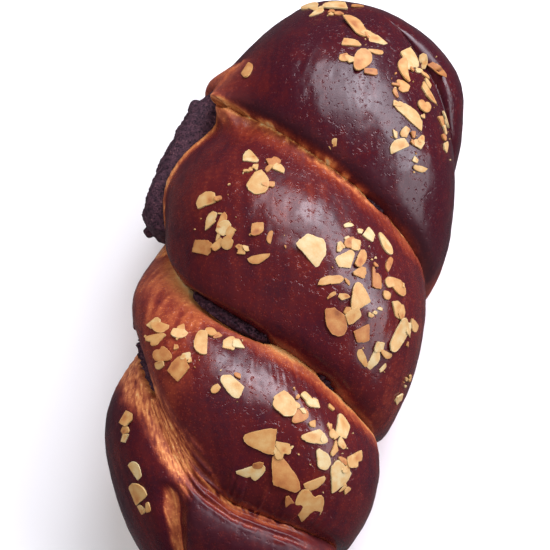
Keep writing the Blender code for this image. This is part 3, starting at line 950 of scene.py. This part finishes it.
def broken_edges(draw, kind):
    """The straight breaks of a flake, each as the way it faces and how far out it lies."""
    if kind == "shard":
        start = draw.uniform(0.0, math.tau)
        sides = draw.choice((3, 4, 4, 5))
        return [(start + math.tau * (k + draw.uniform(-0.24, 0.24)) / sides, draw.uniform(0.42, 0.85))
                for k in range(sides)]
    if kind == "boat":
        side = draw.choice((-1.0, 1.0))
        return [(side * math.pi / 2.0 + draw.uniform(-0.25, 0.25), draw.uniform(0.05, 0.40))]
    count = {"whole": 0, "chipped": 1, "half": 2}[kind]
    return [(draw.uniform(0.0, math.tau), draw.uniform(0.30, 0.75)) for k in range(count)]


def press_flake(target, blank, toast_layer, y, theta, length, shape, kind, rng, leans_on=None):
    """Adds one flake: the blank given an outline, laid on the crust, curled and toasted."""
    width, cut, start = shape
    point, along, across, normal = surface_frame(y, theta)
    radius = surface_radius(y, theta)
    tilt = rng.choice((0.0, 0.02, 0.05, 0.10)) * rng.uniform(0.6, 1.2)
    facing = rng.uniform(0.0, math.tau)
    if leans_on:
        facing = math.atan2((leans_on - point).dot(across), (leans_on - point).dot(along))
        tilt = 1.3 * FLAKE_THICKNESS / length
    curl = rng.uniform(-12.0, 20.0)
    breaks = broken_edges(rng, kind)
    bite = (rng.uniform(0.0, math.tau), rng.choice((0.0, 0.0, 0.0, 0.40)))
    toasted = rng.choice((0.04, 0.14, 0.26, 0.38, 0.56)) + rng.uniform(-0.06, 0.06)
    heart = rng.choice((0.0, 0.12, 0.35, 0.5))
    spot = Vector((rng.uniform(-0.4, 0.4), rng.uniform(-0.4, 0.4), 0.0))
    flat_places = []
    for old in blank.verts:
        part = math.hypot(old.co.x, old.co.y)
        angle = math.atan2(old.co.y, old.co.x)
        reach = part * slice_reach(angle, length, width, cut, breaks, bite)
        rim_spot = Vector((math.cos(angle) * 6.0, math.sin(angle) * 6.0, y * 900.0))
        reach *= 1.0 + 0.07 * noise.noise(rim_spot) * part
        flat_places.append((reach * math.cos(angle + start), reach * math.sin(angle + start)))
    lowest = min(u * math.cos(facing) + v * math.sin(facing) for u, v in flat_places)
    verts = []
    for old, (u, v) in zip(blank.verts, flat_places):
        part = math.hypot(old.co.x, old.co.y)
        there = y + u * along.y + v * across.y
        turn = theta + v / radius
        on_crust = place(there, turn, surface_radius(there, turn))
        flat = point + along * u + across * v
        rise = (on_crust - flat).dot(normal) - FLAKE_SINK
        rise += (u * math.cos(facing) + v * math.sin(facing) - lowest) * tilt + curl * u * u
        vert = target.verts.new(flat + normal * (rise + old.co.z * FLAKE_THICKNESS))
        rim = 0.14 * ramp(0.55, 0.92, part) - 0.20 * ramp(0.95, 1.0, part)
        middle = heart * bump((old.co.xy.to_3d() - spot).length, 0.42)
        vert[toast_layer] = min(max(toasted + rim + middle, 0.0), 1.0)
        verts.append(vert)
    for face in blank.faces:
        target.faces.new([verts[corner.index] for corner in face.verts])


almond_material, tree, shader = new_material("toasted_almond", 0.55)
almond_ramp = colour_ramp(tree, (
    (0.00, (192, 173, 129)),
    (0.22, (187, 151, 97)),
    (0.45, (178, 130, 75)),
    (0.70, (162, 103, 55)),
    (1.00, (128, 73, 40)),
))
grain_node = add_grain(tree, grain, 300.0, 1800.0, 0.25)
mottled = add_math(tree, "MULTIPLY", add_math(tree, "SUBTRACT", grain_node.outputs["Mask"], 0.5), 0.9)
tree.links.new(add_math(tree, "ADD", add_attribute(tree, "toast"), mottled), almond_ramp.inputs["Fac"])
tree.links.new(almond_ramp.outputs["Color"], shader.inputs["Base Color"])
shader.inputs["Specular IOR Level"].default_value = 0.35
add_bump(tree, shader, grain_node.outputs["Height"], 0.00008, 0.4)

draw = random.Random(FLAKE_SEED)
finish_draw = random.Random(FINISH_SEED)
blank = spun_blank(FLAKE_STEPS)
blank.verts.index_update()
bm = bmesh.new()
toast_layer = bm.verts.layers.float.new("toast")
flakes = []
for y, theta, length in flake_places(draw):
    shape = flake_shape(draw, length)
    flakes.append((place(y, theta, surface_radius(y, theta)), length))
    kind = finish_draw.choice(("whole", "boat", "boat", "chipped", "half", "half", "shard"))
    press_flake(bm, blank, toast_layer, y, theta, length, shape, kind, finish_draw)
blank.free()
almonds = new_piece("flaked_almonds", bm, almond_material, FLAKE_CREASE)
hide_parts("loaf")


# The almond splinters: shards and crumbs that have broken off the flakes. They lie among them, and
# some lean on one. They are the same pressed blank with fewer sides, from 0.7 to 12 mm long.
SPLINTER_SEED = 8
SPLINTER_STEPS = 18
SHARD_LENGTHS = (0.0035, 0.0045, 0.0060, 0.0080, 0.0100)
CRUMB_LENGTHS = (0.0008, 0.0012, 0.0018, 0.0026)
SHORTEST_LEANING = 0.0055

draw = random.Random(SPLINTER_SEED)
blank = spun_blank(SPLINTER_STEPS)
blank.verts.index_update()
bm = bmesh.new()
toast_layer = bm.verts.layers.float.new("toast")
for middle, degrees, half_length, half_width, count, largest in FLAKE_PATCHES:
    for lengths, number, spread in ((SHARD_LENGTHS, 2 * count, 1.05), (CRUMB_LENGTHS, 2 * count, 1.3)):
        for k in range(number):
            y = middle + spread * half_length * draw.uniform(-1.0, 1.0)
            theta = math.radians(degrees) + spread * half_width * draw.uniform(-1.0, 1.0) / MEAN_RADIUS
            length = draw.choice(lengths) * draw.uniform(0.85, 1.2)
            slimness = draw.uniform(0.28, 0.75)
            shape = (length * slimness, draw.uniform(0.3, 1.0), draw.uniform(0.0, math.tau))
            if filling_shows_near(y, theta, length / 2.0):
                continue
            here = place(y, theta, surface_radius(y, theta))
            touched = [other for other, size in flakes if (here - other).length < 0.38 * size + length / 2.0]
            buried = any((here - other).length < 0.30 * size for other, size in flakes)
            kind = draw.choice(("boat", "chipped", "shard", "shard", "shard"))
            if buried or (touched and length < SHORTEST_LEANING):
                continue
            leans_on = touched[0] if touched else None
            press_flake(bm, blank, toast_layer, y, theta, length, shape, kind, draw, leans_on)
blank.free()
splinters = new_piece("almond_splinters", bm, almond_material, FLAKE_CREASE)


# The pale floor that the loaf lies on, and soft studio light: two cool panels behind the far end and
# one at the right, which draw the sheen on the crust, and a broad fill overhead that draws none.
def panel(name, location, size, power, colour, sheen=True):
    """Adds a rectangular lamp that points at the loaf."""
    data = bpy.data.lights.new(name, "AREA")
    data.shape = "RECTANGLE"
    data.size, data.size_y = size
    data.energy = power
    data.color = colour
    obj = bpy.data.objects.new(name, data)
    obj.location = location
    obj.rotation_euler = (Vector((0.0, 0.0, 0.04)) - Vector(location)).to_track_quat("-Z", "Y").to_euler()
    obj.visible_glossy = sheen
    bpy.context.scene.collection.objects.link(obj)


floor_material, tree, shader = new_material("pale_floor", 0.9)
shader.inputs["Base Color"].default_value = (0.86, 0.86, 0.87, 1.0)
grain_node = add_grain(tree, grain, 3.0, 40.0, 0.3)
add_bump(tree, shader, grain_node.outputs["Height"], 0.0005, 0.05)
bm = bmesh.new()
bmesh.ops.create_grid(bm, x_segments=1, y_segments=1, size=12.0)
floor_mesh = bpy.data.meshes.new("floor")
bm.to_mesh(floor_mesh)
bm.free()
floor_mesh.materials.append(floor_material)
floor = bpy.data.objects.new("floor", floor_mesh)
bpy.context.scene.collection.objects.link(floor)
floor.visible_glossy = False

panel("window_panel", (1.02, 1.38, 1.56), (2.5, 1.0), 70.0, (0.92, 0.90, 1.0))
panel("side_panel", (1.95, 0.25, 1.05), (1.5, 1.0), 22.0, (0.92, 0.92, 1.0))
panel("left_window_panel", (-0.06, 1.40, 1.68), (1.0, 1.5), 30.0, (0.92, 0.90, 1.0))
panel("fill_panel", (-0.9, -0.5, 1.9), (2.4, 2.4), 32.0, (1.0, 0.98, 0.96), sheen=False)

world = bpy.data.worlds.new("studio")
world.use_nodes = True
world.node_tree.nodes["Background"].inputs["Color"].default_value = (0.86, 0.91, 1.0, 1.0)
world.node_tree.nodes["Background"].inputs["Strength"].default_value = 0.12
bpy.context.scene.world = world
bpy.context.scene.view_settings.view_transform = "Standard"


# The camera: a long lens held over the near end and a little to the right, as in the photograph.
CAMERA_AZIMUTH = math.radians(16.0)
CAMERA_ELEVATION = math.radians(70.0)
CAMERA_DISTANCE = 0.628
CAMERA_TARGET = Vector((-0.0026, 0.0015, 0.045))

back = Vector((math.sin(CAMERA_AZIMUTH) * math.cos(CAMERA_ELEVATION),
               -math.cos(CAMERA_AZIMUTH) * math.cos(CAMERA_ELEVATION),
               math.sin(CAMERA_ELEVATION)))
camera_data = bpy.data.cameras.new("camera")
camera_data.lens = 85.0
camera_data.sensor_width = 36.0
camera = bpy.data.objects.new("camera", camera_data)
camera.location = CAMERA_TARGET + back * CAMERA_DISTANCE
camera.rotation_euler = (-back).to_track_quat("-Z", "Y").to_euler()
bpy.context.scene.collection.objects.link(camera)
bpy.context.scene.camera = camera
